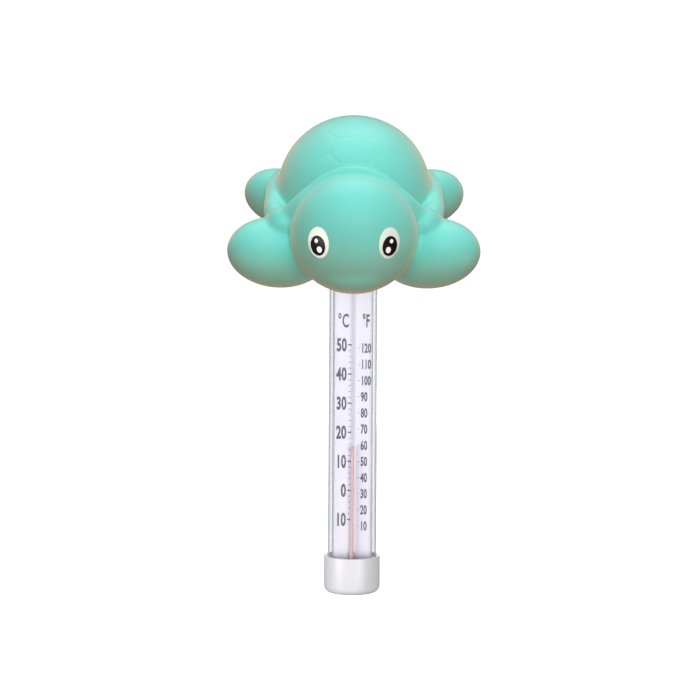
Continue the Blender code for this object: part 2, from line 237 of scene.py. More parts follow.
MIX_A, MIX_B, MIX_RESULT = 6, 7, 2


def new_finish(name, colour, roughness, **sockets):
    """A material with its Principled shader's constant sockets set. Underscores stand for spaces."""
    finish = bpy.data.materials.new(name)
    finish.use_nodes = True
    shader = finish.node_tree.nodes["Principled BSDF"]
    shader.inputs["Base Color"].default_value = linear(colour)
    shader.inputs["Roughness"].default_value = roughness
    for socket, value in sockets.items():
        shader.inputs[socket.replace("_", " ")].default_value = value
    return finish, shader


def surface(finish, shader, colours, patch, grain, depth, rough, stretch=(1, 1, 1)):
    """Slow colour change over patches, and a fine grain that moves roughness and height, all in mm."""
    place = add_node(finish, "ShaderNodeTexCoord", {})
    mapped = add_node(finish, "ShaderNodeMapping", {"Vector": place.outputs["Object"], "Scale": stretch})
    cloud = add_node(
        finish, "ShaderNodeTexNoise", {"Vector": place.outputs["Object"], "Scale": per_mm(patch), "Detail": 3}
    )
    tone = add_node(
        finish,
        "ShaderNodeMix",
        {0: cloud.outputs["Fac"], MIX_A: linear(colours[0]), MIX_B: linear(colours[1])},
        data_type="RGBA",
    )
    fine = add_node(
        finish, "ShaderNodeTexNoise", {"Vector": mapped.outputs[0], "Scale": per_mm(grain), "Detail": 4}
    )
    gloss = add_node(
        finish, "ShaderNodeMapRange", {"Value": fine.outputs["Fac"], "To Min": rough[0], "To Max": rough[1]}
    )
    relief = add_node(
        finish, "ShaderNodeBump", {"Height": fine.outputs["Fac"], "Distance": depth * MM, "Strength": 1.0}
    )
    links = finish.node_tree.links
    links.new(tone.outputs[MIX_RESULT], shader.inputs["Base Color"])
    links.new(gloss.outputs["Result"], shader.inputs["Roughness"])
    links.new(relief.outputs["Normal"], shader.inputs["Normal"])
    return tone, relief


print("mid grey in linear light:", round(linear("808080")[0], 3))

# %% [markdown]
# ## Finishes
# The float is rotation-moulded vinyl: matt, slightly soft to the touch, with a pale bloom where it is
# seen edge on. The sheen gives that bloom, in a warm tint.

# %% Soft vinyl of the float
soft_vinyl, shader = new_finish(
    "moulded_soft_vinyl",
    "70e0d2",
    0.5,
    IOR=1.53,
    Sheen_Weight=0.85,
    Sheen_Roughness=0.4,
    Sheen_Tint=linear("f2c4a0"),
    Specular_IOR_Level=0.4,
)
surface(soft_vinyl, shader, ("6bdccd", "77e6d8"), 14, 0.35, 0.012, (0.44, 0.58))
print("float finish:", soft_vinyl.name, "with", len(soft_vinyl.node_tree.nodes), "nodes")

# %% [markdown]
# The end cap, bush and stopper are injection-moulded white polypropylene. It is a little glossier than
# the vinyl, and its surface has the faint ripple that a polished mould leaves. The washer is nylon,
# turned, so its grain runs round it, and the scale is printed on smooth white polystyrene sheet.

# %% White and clear plastics
white_plastic, shader = new_finish("moulded_white_polypropylene", "e8e8e8", 0.35, IOR=1.49)
surface(white_plastic, shader, ("e6e6e6", "ebebea"), 9, 0.8, 0.004, (0.3, 0.42))

nylon_finish, shader = new_finish("turned_nylon", "ece6d6", 0.4, IOR=1.53, Subsurface_Weight=0.1)
surface(nylon_finish, shader, ("e8e2d0", "efe9da"), 4, 0.3, 0.006, (0.34, 0.5), stretch=(1, 1, 6))

plate_finish, shader = new_finish("white_polystyrene_sheet", "f0eff7", 0.42, IOR=1.59)
surface(plate_finish, shader, ("efedf6", "f4f3fa"), 20, 0.6, 0.003, (0.36, 0.48))
print("hard plastics:", white_plastic.name, nylon_finish.name, plate_finish.name)

# %% [markdown]
# The tube is extruded clear polystyrene, and the thermometer is drawn soda-lime glass. Both are seen
# through, and both turn grey where the eye runs along the wall. Their opacity follows the facing angle,
# which keeps what is inside evenly lit and free of grain.


# %% See-through walls
def see_through(name, colour, roughness, open_share, edge_share, edge_from, **sockets):
    """A clear wall: nearly open face on, and grey where it is seen edge on."""
    finish, shader = new_finish(name, colour, roughness, **sockets)
    facing = add_node(finish, "ShaderNodeLayerWeight", {"Blend": 0.5})
    shade = add_node(
        finish,
        "ShaderNodeMapRange",
        {
            "Value": facing.outputs["Facing"],
            "From Min": edge_from,
            "From Max": 1.0,
            "To Min": open_share,
            "To Max": edge_share,
        },
        interpolation_type="SMOOTHSTEP",
    )
    place = add_node(finish, "ShaderNodeTexCoord", {})
    drawn = add_node(finish, "ShaderNodeMapping", {"Vector": place.outputs["Object"], "Scale": (1, 1, 0.05)})
    streaks = add_node(
        finish, "ShaderNodeTexNoise", {"Vector": drawn.outputs[0], "Scale": per_mm(1.5), "Detail": 2}
    )
    relief = add_node(
        finish, "ShaderNodeBump", {"Height": streaks.outputs["Fac"], "Distance": 0.01 * MM, "Strength": 0.6}
    )
    finish.node_tree.links.new(shade.outputs["Result"], shader.inputs["Alpha"])
    finish.node_tree.links.new(relief.outputs["Normal"], shader.inputs["Normal"])
    return finish


clear_polystyrene = see_through(
    "extruded_clear_polystyrene", "bcbec8", 0.06, 0.03, 0.8, 0.3, IOR=1.59
)
clear_glass = see_through("drawn_soda_lime_glass", "d4d4d8", 0.03, 0.04, 0.22, 0.4, IOR=1.52)
print("clear walls:", clear_polystyrene.name, clear_glass.name)

# %% [markdown]
# The spirit is alcohol dyed red, and in a thin bore it looks pale. The seals are black nitrile rubber
# with a trace of moulding talc, the cushions are white polyethylene foam, and the weight is plated steel.

# %% Spirit, rubber, foam and steel
red_spirit, shader = new_finish("dyed_spirit", "ecbcbc", 0.15, IOR=1.36, Specular_IOR_Level=0.6)
surface(red_spirit, shader, ("e8b2b2", "f0c4c2"), 6, 1.2, 0.002, (0.12, 0.2))

rubber_finish, shader = new_finish("nitrile_rubber", "1d1d1f", 0.6, IOR=1.52)
surface(rubber_finish, shader, ("191a1b", "2b2b2d"), 1.5, 0.2, 0.01, (0.5, 0.75))

foam_finish, shader = new_finish("polyethylene_foam", "e9e9e3", 0.85, Sheen_Weight=0.15)
tone, relief = surface(foam_finish, shader, ("e4e4dc", "efefea"), 2.5, 0.5, 0.03, (0.8, 0.95))
place = add_node(foam_finish, "ShaderNodeTexCoord", {})
cells = add_node(
    foam_finish, "ShaderNodeTexVoronoi", {"Vector": place.outputs["Object"], "Scale": per_mm(0.7)}
)
pores = add_node(
    foam_finish,
    "ShaderNodeBump",
    {"Height": cells.outputs["Distance"], "Distance": 0.08 * MM, "Normal": relief.outputs["Normal"]},
)
foam_finish.node_tree.links.new(pores.outputs["Normal"], shader.inputs["Normal"])

steel_finish, shader = new_finish("zinc_plated_steel", "a9adb2", 0.35, Metallic=1.0)
surface(steel_finish, shader, ("a2a6ac", "b4b8bc"), 3, 0.25, 0.008, (0.28, 0.5), stretch=(1, 1, 8))
print("inside:", red_spirit.name, rubber_finish.name, foam_finish.name, steel_finish.name)


# %% [markdown]
# All the printing is ink: screen-printed grey on the scale, and pad-printed white and near-black for
# the eyes. Ink has a fine mottle, because it never lies quite evenly.


# %% Inks
def ink(name, colours, rough, **sockets):
    finish, shader = new_finish(name, colours[0], rough, IOR=1.5, **sockets)
    surface(finish, shader, colours, 1.2, 0.15, 0.002, (rough - 0.06, rough + 0.08))
    return finish


dark_ink = ink("screen_print_grey", ("5a5a66", "66666f"), 0.5)
pale_ink = ink("screen_print_pale_grey", ("9c9ca6", "a8a8b0"), 0.5)
eye_white = ink("pad_print_white", ("cdd3c0", "d5d9c8"), 0.45)
eye_black = ink("pad_print_black", ("0e0604", "190c08"), 0.3, Specular_IOR_Level=0.15)
eye_glint = ink("pad_print_glint", ("e8e2e2", "f0ecec"), 0.35)
print("finishes in all:", len(bpy.data.materials))

# %% [markdown]
# ## The turtle
# The float is one casting with no seams to speak of: shell, head and flippers run into each other with
# soft hollows between them. It is built from overlapping round lobes and a rolled rim, which a voxel
# remesh makes one skin and a smooth rounds off. The lobes are laid out level and then pitched nose down.

# %% Lobes of the turtle
TURTLE_LIFT = -7.6
TURTLE_PITCH = math.radians(15)
SKIN_WALL = 2.2

# Name: centre, half axes, (lift, yaw) in degrees, and whether there is one on each side.
LOBES = {
    "carapace": ((0, 8, 28), (30.8, 38, 29.6), (0, 0), False),
    "body": ((0, 4, 20), (30, 38, 20), (0, 0), False),
    "head": ((0, -32, 26.3), (25.2, 25.2, 23.5), (0, 0), False),
    "brow": ((0, -12, 33.5), (22.5, 15, 14.5), (0, 0), False),
    "muzzle": ((0, -42, 17.6), (16, 13.4, 11.2), (0, 0), False),
    "shoulder": ((28.2, -25.5, 27.6), (6.3, 8.0, 6.9), (0, 0), True),
    "front_flipper": ((29.8, -24, 15.0), (21.8, 15.6, 13.9), (13, -30), True),
    "rear_flipper": ((29.3, 30, 17.2), (17, 11.8, 11.0), (0, 41), True),
    "tail": ((0, 44, 19), (5.5, 9, 5), (0, 0), False),
}
HOLLOW_LOBES = ("carapace", "body", "head", "front_flipper", "rear_flipper")


def lobe(name, side, inset):
    """One ellipsoid lobe, made smaller by inset."""
    centre, half_axes, (lift, yaw), _ = LOBES[name]
    deselect()
    bpy.ops.mesh.primitive_uv_sphere_add(
        segments=64,
        ring_count=40,
        radius=MM,
        location=[side * centre[0] * MM, centre[1] * MM, centre[2] * MM],
        rotation=(0, -side * math.radians(lift), side * math.radians(yaw)),
        scale=[a - inset for a in half_axes],
    )
    return bpy.context.object


def all_lobes(names, inset):
    made = []
    for name in names:
        sides = (1, -1) if LOBES[name][3] else (1,)
        made += [lobe(name, side, inset) for side in sides]
    return made


print("lobes:", sum(2 if paired else 1 for *_, paired in LOBES.values()))

# %% [markdown]
# Round the shell runs a soft rolled rim. It arches over the head like a collar, droops over the front
# flippers and runs back to the tail. A swept round bar of changing thickness gives it, as a roll of clay
# would, and it takes only the few points where the rim turns.

# %% The rolled rim
# Half of the rim, from over the head to the tail: x, y, z and the radius of the roll, in millimetres.
RIM = [
    (0, -24.5, 49.2, 2.6),
    (9.5, -25.2, 46.9, 2.7),
    (16.6, -26.8, 41.4, 3.2),
    (21.6, -27.6, 36.2, 3.9),
    (27.6, -24.0, 28.2, 4.6),
    (31.0, -13, 27.2, 4.4),
    (31.6, 2, 27.6, 3.8),
    (30.5, 21, 27.4, 3.2),
    (23.5, 34.5, 27.2, 3.2),
    (12.5, 42.8, 27, 3.2),
    (0, 45.3, 27, 3.2),
]


def rolled_rim():
    """A bezier circle cut into as many points as the rim has, bent to its line and given thickness."""
    around = RIM + [(-x, y, z, r) for x, y, z, r in reversed(RIM[1:-1])]
    deselect()
    bpy.ops.curve.primitive_bezier_circle_add()
    rim = bpy.context.object
    bpy.ops.object.mode_set(mode="EDIT")
    bpy.ops.curve.select_all(action="SELECT")
    bpy.ops.curve.subdivide(number_cuts=len(around) // 4 - 1)
    bpy.ops.object.mode_set(mode="OBJECT")
    points = rim.data.splines[0].bezier_points
    for point, (x, y, z, r) in zip(points, around, strict=True):
        point.co = (x * MM, y * MM, z * MM)
        point.radius = r
        point.handle_left_type = "AUTO"
        point.handle_right_type = "AUTO"
    rim.data.bevel_depth = MM
    rim.data.bevel_resolution = 5
    rim.data.resolution_u = 8
    choose(rim)
    bpy.ops.object.convert(target="MESH")
    return rim


def pitched(piece):
    """Turns a piece from the turtle's level layout to the way it floats."""
    place_in_mesh(piece)
    piece.rotation_euler.x = TURTLE_PITCH
    piece.location.z = TURTLE_LIFT * MM
    place_in_mesh(piece)
    return piece


def plain_cylinder(radius, low, high):
    deselect()
    bpy.ops.mesh.primitive_cylinder_add(
        vertices=96, radius=radius * MM, depth=(high - low) * MM, location=(0, 0, (low + high) / 2 * MM)
    )
    made = bpy.context.object
    place_in_mesh(made)
    return made


print("thickness of the rim, mm:", [2 * radius for *_, radius in RIM])

# %% [markdown]
# The remesh reads all the overlapping lobes as one solid. Its voxels are fine enough that the hollows
# between head, rim and flippers stay crisp, and a few rounds of smoothing give the soft casting edges.

# %% The outer skin
NECK_LOW = span("neck_bush", 2)[0] + 1.9
NECK_TOP = NECK_LOW + 20
BORE_NECK_R = 12.3
COLLAR_R = 14.7

skin = pitched(joined("turtle_skin", [*all_lobes(LOBES, 0), rolled_rim()]))
skin = joined("turtle_skin", [skin, plain_cylinder(COLLAR_R, NECK_LOW, NECK_TOP)])
apply_modifier(skin, "REMESH", mode="VOXEL", voxel_size=0.68 * MM)
apply_modifier(skin, "SMOOTH", factor=0.5, iterations=9)
print("skin points:", len(skin.data.vertices))


# %% [markdown]
# Between the dome and its rim the casting dips in one easy curve, and over each front flipper the rim
# droops into a soft shoulder. A second smoothing, held to those places by a vertex group, opens the
# creases there and leaves the head and the flippers as they are.

# %% The dip along the rim and the shoulders
TO_WORLD = Matrix.Translation((0, 0, TURTLE_LIFT)) @ Matrix.Rotation(TURTLE_PITCH, 4, "X")
SHOULDER = Vector((27, -26, 34))


def fade(distance, held, reach):
    """1 up to the held distance, falling to 0 over the reach beyond it."""
    return 1 - min(1, max(0, distance - held) / reach)


def softening(point):
    """How much a point, in the level layout, belongs to the dip or to a shoulder."""
    x, y, z = abs(point.x), point.y, point.z
    dip = fade(abs(x - 28), 4, 3) * fade(-24 - y, 0, 6) * fade(abs(z - 36), 6, 3)
    shoulder = fade((Vector((x, y, z)) - SHOULDER).length, 6, 5)
    return max(dip, shoulder)


softened = skin.vertex_groups.new(name="softened")
to_level = TO_WORLD.inverted()
for vertex in skin.data.vertices:
    weight = softening(to_level @ (vertex.co / MM))
    if weight > 0:
        softened.add([vertex.index], weight, "REPLACE")
apply_modifier(skin, "SMOOTH", factor=0.5, iterations=30, vertex_group=softened.name)
print("skin width after softening:", round(1000 * skin.dimensions.x, 1), "mm")

# %% [markdown]
# The shell carries the outline of its horny plates as shallow grooves: a row of six-sided plates down
# the back and side plates that run out to the rim. The grooves are drawn as lines on the shell's
# ellipsoid, and the points of the skin near a line are pressed in, deepest on the line.

# %% Plate grooves on the shell
SPINE = [(5.5, -17), (10.5, -10.5), (6.8, -4), (11.5, 3.5), (7, 11), (11, 18), (6, 25), (8, 31), (4.5, 37)]
CROSS = [((-x, y), (x, y)) for x, y in SPINE[::2]]
RIBS = [((10.5, -10.5), (26, -14)), ((11.5, 3.5), (30, 4)), ((11, 18), (27, 22)), ((8, 31), (16.5, 36.5))]
GROOVE_DEPTH = 0.15
GROOVE_WIDTH = 0.7


def on_shell(x, y):
    """The point of the shell's ellipsoid above (x, y), in the level layout."""
    (cx, cy, cz), (ax, ay, az), _, _ = LOBES["carapace"]
    rest = max(0.0, 1 - ((x - cx) / ax) ** 2 - ((y - cy) / ay) ** 2)
    return Vector((x, y, cz + az * math.sqrt(rest)))


def groove_lines():
    lines = [*zip(SPINE, SPINE[1:]), *RIBS]
    lines += [((-a[0], a[1]), (-b[0], b[1])) for a, b in lines]
    lines += CROSS
    made = []
    for (ax, ay), (bx, by) in lines:
        parts = 8
        steps = [on_shell(ax + (bx - ax) * i / parts, ay + (by - ay) * i / parts) for i in range(parts + 1)]
        steps = [TO_WORLD @ p for p in steps]
        made += list(zip(steps, steps[1:]))
    return made


def press_grooves(piece):
    points = np.empty(len(piece.data.vertices) * 3)
    piece.data.vertices.foreach_get("co", points)
    points = points.reshape(-1, 3)
    normals = np.array([v.normal for v in piece.data.vertices])
    nearest = np.full(len(points), 1e9)
    for start, end in groove_lines():
        a, b = np.array(start) * MM, np.array(end) * MM
        along = np.clip((points - a) @ (b - a) / ((b - a) @ (b - a)), 0, 1)
        gap = np.linalg.norm(points - a - along[:, None] * (b - a), axis=1)
        nearest = np.minimum(nearest, gap)
    press = GROOVE_DEPTH * MM * np.exp(-((nearest / (GROOVE_WIDTH * MM)) ** 2))
    moved = points - normals * press[:, None]
    piece.data.vertices.foreach_set("co", moved.ravel())
    piece.data.update()
    return int((press > 0.05 * MM).sum())


print("grooved points:", press_grooves(skin))

# %% [markdown]
# The casting is hollow, with a wall of about two millimetres, and it is open only at the neck that
# takes the bush. The hollow is made from the same lobes, smaller by the wall, and cut away.

# %% The hollow and the neck
hollow = pitched(joined("hollow", all_lobes(HOLLOW_LOBES, SKIN_WALL)))
apply_modifier(hollow, "REMESH", mode="VOXEL", voxel_size=2 * MM)
neck_wall = plain_cylinder(COLLAR_R, NECK_LOW - 5, NECK_TOP)
apply_modifier(hollow, "BOOLEAN", operation="DIFFERENCE", object=neck_wall, solver="EXACT")
neck_bore = plain_cylinder(BORE_NECK_R, NECK_LOW - 5, NECK_TOP + 2)
apply_modifier(skin, "BOOLEAN", operation="DIFFERENCE", object=hollow, solver="EXACT")
apply_modifier(skin, "BOOLEAN", operation="DIFFERENCE", object=neck_bore, solver="EXACT")
for tool in (hollow, neck_wall, neck_bore):
    bpy.data.objects.remove(tool)
finished(skin, soft_vinyl, "float", "float_vinyl", "float_skin", angle=50)

# %% [markdown]
# ## The eyes
# Each eye is three layers of pad-printed ink: a white oval, a dark pupil and two glints. Each layer is
# a disc of rings that stands in front of the head, drops onto the skin along the eye's own line of
# sight, and gets the thickness of a coat of ink.

# %% Printed eyes
HEAD_CENTRE = TO_WORLD @ Vector(LOBES["head"][0])
EYE_DIRECTION = (14.2, -20.6, 4.4)
STAND_OFF = 34


def eye_frame(side):
    """Right, up and out of the head at the middle of an eye, standing off from the head's centre."""
    level = Vector((side * EYE_DIRECTION[0], *EYE_DIRECTION[1:]))
    out = (Matrix.Rotation(TURTLE_PITCH, 3, "X") @ level).normalized()
    up = (Vector((0, 0, 1)) - out * out.z).normalized()
    turn = Matrix((up.cross(out), up, out)).transposed().to_4x4()
    return Matrix.Translation((HEAD_CENTRE + out * STAND_OFF) * MM) @ turn


def eye_layer(name, side, outward, upward, half_width, half_height, lean, lift, finish):
    """An oval coat of ink. Its place counts from the middle of the eye, and its top leans outward."""
    deselect()
    bpy.ops.mesh.primitive_circle_add(vertices=72, radius=MM, fill_type="NGON")
    layer = bpy.context.object
    layer.name = name
    layer.data.name = name
    bpy.ops.object.mode_set(mode="EDIT")
    bpy.ops.mesh.select_all(action="SELECT")
    for _ in range(8):
        bpy.ops.mesh.inset(thickness=0.115 * MM)
    bpy.ops.object.mode_set(mode="OBJECT")
    layer.scale = (half_width, half_height, 1)
    place_in_mesh(layer)
    layer.rotation_euler.z = -side * math.radians(lean)
    layer.location = (side * outward * MM, upward * MM, 0)
    place_in_mesh(layer)
    layer.matrix_world = eye_frame(side)
    bpy.context.view_layer.update()
    apply_modifier(
        layer,
        "SHRINKWRAP",
        target=skin,
        wrap_method="PROJECT",
        wrap_mode="ABOVE_SURFACE",
        use_project_z=True,
        use_negative_direction=True,
        use_positive_direction=False,
        offset=lift * MM,
    )
    apply_modifier(layer, "SOLIDIFY", thickness=0.04 * MM, offset=1)
    return finished(layer, finish, "float", "float_vinyl", angle=60)


# Name: outward and upward place, half width and half height, lean in degrees, lift off the skin, ink.
EYE_LAYERS = {
    "eye_white": (0, -0.2, 4.8, 6.15, 7, 0.02, eye_white),
    "eye_pupil": (0.1, -1.3, 3.4, 3.95, 9, 0.08, eye_black),
    "eye_glint": (0.65, 0.6, 0.8, 0.85, 0, 0.14, eye_glint),
    "eye_low_glint": (-0.65, -2.8, 1.15, 1.25, 0, 0.14, eye_glint),
}
for side, where in ((1, "right"), (-1, "left")):
    for name, layout in EYE_LAYERS.items():
        eye_layer(f"{name}_{where}", side, *layout)

# %% [markdown]
# ## The tube and its fittings
# The tube is a plain extruded length with its ends cut square and the edges just broken. It turns in a
# white flanged bush that is bonded in the float's neck, and a stopper closes it from above.

# %% Tube, bush, washer and stopper
tube = turned(
    "clear_tube",
    [(TUBE_R, TUBE_TOP), (TUBE_R, TUBE_LOW), (BORE_R, TUBE_LOW), (BORE_R, TUBE_TOP)],
    ring=True,
    steps=128,
)
finished(tube, clear_polystyrene, "tube", "clear_plastic", "tube")
tube.visible_shadow = False

bush_low, bush_top = heights("neck_bush")
bush_bore = TUBE_R + 0.25
bush_sleeve = BORE_NECK_R - 0.3
flange_top = bush_low + 1.6
seal_at = sum(heights("neck_seal")) / 2
bush = turned(
    "flanged_bush",
    [
        (bush_sleeve, bush_top),
        (bush_sleeve, flange_top),
        (COLLAR_R, flange_top),
        (COLLAR_R, bush_low),
        (bush_bore, bush_low),
        (bush_bore, seal_at - 0.9),
        (bush_bore + 1.05, seal_at - 0.9),
        (bush_bore + 1.05, seal_at + 0.9),
        (bush_bore, seal_at + 0.9),
        (bush_bore, bush_top),
    ],
    ring=True,
    edge=0.25,
)
finished(bush, white_plastic, "float", "white_plastic", "neck_bush")

washer_low, washer_top = heights("swivel_washer")
washer = turned(
    "nylon_washer",
    [(11.4, washer_top), (11.4, washer_low), (TUBE_R + 0.3, washer_low), (TUBE_R + 0.3, washer_top)],
    ring=True,
)
finished(washer, nylon_finish, "float", "nylon", "swivel_washer")

plug_low, plug_top = heights("tube_top_plug")
plug_r = span("tube_top_plug", 0)[1]
plug_flange = plug_top - 2.0
spigot_r = BORE_R - 0.25
hollow_r = spigot_r - 2.5
plug_seal_at = sum(heights("plug_seal")) / 2
stopper = turned(
    "tube_stopper",
    [
        (5.2, plug_top - 0.5),
        (5.7, plug_top),
        (plug_r, plug_top),
        (plug_r, plug_flange),
        (spigot_r, plug_flange),
        (spigot_r, plug_seal_at + 0.7),
        (spigot_r - 1.1, plug_seal_at + 0.7),
        (spigot_r - 1.1, plug_seal_at - 0.7),
        (spigot_r, plug_seal_at - 0.7),
        (spigot_r, plug_low),
        (hollow_r, plug_low),
        (hollow_r, plug_flange - 0.8),
    ],
    edge=0.2,
)
finished(stopper, white_plastic, "tube", "white_plastic", "tube_top_plug")

# %% [markdown]
# The end cap is a deep cup with a round lower edge. A push-on cap like this has a thin rim, a groove
# for its seal, and a dimple in the middle of its base where the plastic was fed into the mould.

# %% End cap
seal_groove_at = sum(heights("cap_seal")) / 2
CAP_BORE_R = CAP_R - 1.35
CAP_EDGE_R = 2.8
CAP_FLOOR = 1.8
cap = turned(
    "push_on_cap",
    [
        (0.9, 0.3),
        (1.3, 0.05),
        (7.4, 0),
        *arc(CAP_R - CAP_EDGE_R, CAP_EDGE_R, CAP_EDGE_R, -90, 0, 10),
        (CAP_R, CAP_TOP),
        (CAP_BORE_R, CAP_TOP),
        (CAP_BORE_R, seal_groove_at + 0.6),
        (CAP_BORE_R + 0.6, seal_groove_at + 0.6),
        (CAP_BORE_R + 0.6, seal_groove_at - 0.6),
        (CAP_BORE_R, seal_groove_at - 0.6),
        (CAP_BORE_R, CAP_FLOOR),
    ],
    steps=128,
    edge=0.35,
)
finished(cap, white_plastic, "cap", "white_plastic", "end_cap")


# %% [markdown]
# Three rubber rings keep the water out: one round the tube in the bush, one on the stopper and one in
# the cap. Each is a torus of the ring's own section.

# %% Rubber rings
def rubber_ring(name, node, body):
    low, high = heights(node)
    section = (high - low) / 2
    deselect()
    bpy.ops.mesh.primitive_torus_add(
        major_segments=96,
        minor_segments=20,
        major_radius=(span(node, 0)[1] - section) * MM,
        minor_radius=section * MM,
        location=(0, 0, (BASE + low + section) * MM),
    )
    ring = bpy.context.object
    ring.name = name
    ring.data.name = name
    place_in_mesh(ring)
    apply_modifier(ring, "SUBSURF", levels=1, render_levels=1)
    finished(ring, rubber_finish, body, "rubber", node, angle=180)


rubber_ring("bush_ring", "neck_seal", "float")
rubber_ring("stopper_ring", "plug_seal", "tube")
rubber_ring("cap_ring", "cap_seal", "cap")

# %% [markdown]
# Inside the cap sit the plated steel weight that keeps the tube upright, a flat gasket under the tube's
# end, and a foam pad under the glass bulb. A second foam pad sits below the stopper.

# %% Weight, gasket and pads
slug_low, slug_top = heights("ballast_slug")
slug_r = span("ballast_slug", 0)[1]
weight = turned(
    "steel_weight",
    [(1.5, slug_low + 0.3), (2.2, slug_low), (slug_r, slug_low), (slug_r, slug_top), (1.8, slug_top)],
    edge=0.3,
)
finished(weight, steel_finish, "cap", "steel", "ballast_slug")

gasket_low, gasket_top = heights("cap_gasket")
gasket_r = span("cap_gasket", 0)[1]
gasket = turned(
    "flat_gasket",
    [(gasket_r, gasket_top), (gasket_r, gasket_low), (BORE_R, gasket_low), (BORE_R, gasket_top)],
    ring=True,
)
finished(gasket, rubber_finish, "cap", "rubber", "cap_gasket")


def foam_pad(name, node, body):
    low, high = heights(node)
    radius = span(node, 0)[1]
    middle = (low + high) / 2
    pad = turned(
        name,
        [
            (radius * 0.5, low + 0.05),
            (radius - 0.3, low),
            (radius, middle),
            (radius - 0.3, high),
            (radius * 0.5, high - 0.05),
        ],
        edge=0.3,
    )
    finished(pad, foam_finish, body, "foam", node)


foam_pad("bulb_pad", "bulb_cushion", "cap")
foam_pad("top_pad", "top_cushion", "tube")


# %% [markdown]
# The plate stands in a moulded foot at the bottom and in a soft holder near the top. Both are discs
# with a hole for the glass and a slot for the plate, cut by Boolean.

# %% Foot and holder
def box_tool(low, high):
    """A plain box between two corners, in mm, for cutting."""
    deselect()
    middle = [(a + b) / 2 * MM for a, b in zip(low, high)]
    size = [(b - a) * MM for a, b in zip(low, high)]
    bpy.ops.mesh.primitive_cube_add(size=1, location=middle, scale=size)
    tool = bpy.context.object
    place_in_mesh(tool)
    return tool


PLATE_HALF = span("scale_plate", 0)[1]
PLATE_BACK = span("scale_plate", 1)[1]
PLATE_LOW, PLATE_HIGH = heights("scale_plate")


def slotted_disc(name, node, hole_r, slot_low, slot_back, finish, slot):
    low, high = heights(node)
    radius = span(node, 0)[1]
    disc = turned(name, [(radius, low), (radius, high)], edge=0)
    hole = turned("hole_tool", [(hole_r, low - 1), (hole_r, high + 1)], x=STEM_X, y=STEM_Y, steps=48, edge=0)
    reach = PLATE_HALF + 1.3
    notch = box_tool((-reach, PLATE_FRONT - 0.1, BASE + slot_low), (reach, slot_back, BASE + high + 1))
    for tool in (hole, notch):
        apply_modifier(disc, "BOOLEAN", operation="DIFFERENCE", object=tool, solver="EXACT")
        bpy.data.objects.remove(tool)
    apply_modifier(disc, "BEVEL", width=0.12 * MM, segments=2, limit_method="ANGLE", angle_limit=0.7)
    finished(disc, finish, "tube", slot, node)


foot_low = heights("plate_foot")[0]
holder_low = heights("stem_holder")[0]
slotted_disc(
    "moulded_foot", "plate_foot", 1.9, PLATE_LOW - 0.3, PLATE_BACK + 0.1, white_plastic, "white_plastic"
)
slotted_disc("foam_holder", "stem_holder", 1.3, holder_low - 1, 9.0, foam_finish, "foam")

# %% [markdown]
# ## The scale
# The plate is a strip of white polystyrene sheet with its corners rounded off. Its edges are bevelled
# so that they catch a thin line of light through the tube.

# %% Scale plate
plate = box_tool((-PLATE_HALF, PLATE_FRONT, BASE + PLATE_LOW), (PLATE_HALF, PLATE_BACK, BASE + PLATE_HIGH))
plate.name = "printed_plate"
plate.data.name = "printed_plate"
bpy.ops.object.mode_set(mode="EDIT")
bpy.ops.mesh.select_all(action="DESELECT")
bpy.ops.object.mode_set(mode="OBJECT")
for edge in plate.data.edges:
    a, b = (plate.data.vertices[i].co for i in edge.vertices)
    edge.select = abs(a.y - b.y) > 0.5 * MM
bpy.ops.object.mode_set(mode="EDIT")
bpy.ops.mesh.select_mode(type="EDGE")
bpy.ops.mesh.bevel(offset=1.2 * MM, segments=6)
bpy.ops.object.mode_set(mode="OBJECT")
apply_modifier(plate, "BEVEL", width=0.15 * MM, segments=2, limit_method="ANGLE", angle_limit=0.9)
finished(plate, plate_finish, "tube", "scale_print", "scale_plate")

# %% [markdown]
# The Celsius scale stands on the left and Fahrenheit on the right. The marks of a scale are all alike,
# so one mark is made and an Array repeats it at the real pitch.

# %% Scale marks
DEGREE = 1.18
ZERO = 41.1
INK_Y = PLATE_FRONT - 0.035
INK_THICK = 0.025


def celsius_height(value):
    return ZERO + DEGREE * value


def fahrenheit_height(value):
    return celsius_height((value - 32) / 1.8)


def mark_row(name, left, right, thickness, first, pitch, count, finish):
    """A row of printed marks: one thin rounded bar, repeated upward."""
    bar = box_tool(
        (left, INK_Y, BASE + first - thickness / 2), (right, INK_Y + INK_THICK, BASE + first + thickness / 2)
    )
    bar.name = name
    bar.data.name = name
    bpy.ops.object.mode_set(mode="EDIT")
    bpy.ops.mesh.select_all(action="SELECT")
    bpy.ops.mesh.bevel(offset=0.008 * MM, segments=1)
    bpy.ops.object.mode_set(mode="OBJECT")
    apply_modifier(
        bar,
        "ARRAY",
        count=count,
        use_relative_offset=False,
        use_constant_offset=True,
        constant_offset_displace=(0, 0, pitch * MM),
    )
    finished(bar, finish, "tube", "scale_print")


mark_row("celsius_fine_marks", -1.9, -0.7, 0.26, celsius_height(-10), 2 * DEGREE, 31, pale_ink)
mark_row("celsius_ten_marks", -2.0, -0.6, 0.55, celsius_height(-10), 10 * DEGREE, 7, dark_ink)
mark_row("fahrenheit_marks", 1.8, 2.8, 0.22, fahrenheit_height(10), DEGREE / 0.18, 12, pale_ink)

# %% [markdown]
# The numbers are condensed bold figures. Blender's own font is set a little heavier, made a mesh,
# squeezed to the width of one figure, and stood up on the plate. All the numbers of one scale are
# joined, because they are one printing.


# %% Numbers
def figure_size(bold):
    """Width and height of the figure 0 at text size 1, with this much boldness."""
    deselect()
    bpy.ops.object.text_add()
    sample = bpy.context.object
    sample.data.body = "0"
    sample.data.offset = bold
    bpy.context.view_layer.update()
    size = sample.dimensions.copy()
    bpy.data.objects.remove(sample)
    return size


